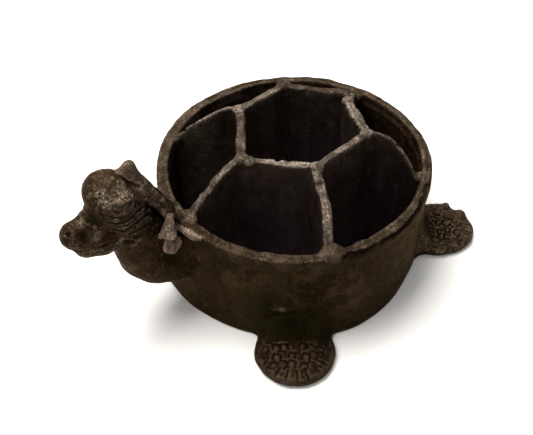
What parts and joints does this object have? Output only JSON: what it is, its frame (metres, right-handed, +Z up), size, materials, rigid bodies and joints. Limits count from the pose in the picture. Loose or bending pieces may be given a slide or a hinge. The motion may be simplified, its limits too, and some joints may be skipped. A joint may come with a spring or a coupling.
{
  "type": "flower frog",
  "caption": "Turtle-shaped flower frog: an open ring shell divided by upright strips into stem cells, with a raised head on a pouched neck and flat stamped feet.",
  "frame": {"origin": "on the ground under the middle of the bounding box; the shell's own axis stands 15.2 mm behind it, along +Y, and 4.0 mm to its right, along -X", "axes": "+Z up, -Y the way the head points, +X the turtle's left"},
  "size_m": [0.1286, 0.165, 0.079],
  "materials": {
    "shell_metal": "dark brown patina, satin, with faint olive and rust marks",
    "strip_metal": "near-black patina inside the cells, worn to grey-tan along the top edges",
    "rim_metal": "worn grey-tan edge with dark pits",
    "head_metal": "dark brown patina with grey-green high spots and dark creases",
    "torn_metal": "torn edge, pale pinkish brown, matt",
    "foot_metal": "dark patina, stamped, with paler worn marks"
  },
  "bodies": {
    "root": {"shell_wall": "shell_metal", "rim_band": "rim_metal", "cell_wall_1": "strip_metal", "cell_wall_2": "strip_metal", "cell_wall_3": "strip_metal", "cell_wall_4": "strip_metal", "cell_wall_5": "strip_metal", "cell_wall_6": "strip_metal", "rib_1": "strip_metal", "rib_2": "strip_metal", "rib_3": "strip_metal", "rib_4": "strip_metal", "rib_5": "strip_metal", "rib_6": "strip_metal", "corner_beads": "strip_metal", "rim_lumps": "rim_metal", "neck": "head_metal", "skull": "head_metal", "muzzle": "head_metal", "lower_jaw": "head_metal", "eye_left": "head_metal", "eye_right": "head_metal", "neck_strap": "head_metal", "collar_stub": "torn_metal", "foot_front_left": "foot_metal", "foot_front_right": "foot_metal", "foot_rear_left": "foot_metal", "foot_rear_right": "foot_metal"}
  },
  "joints": []
}
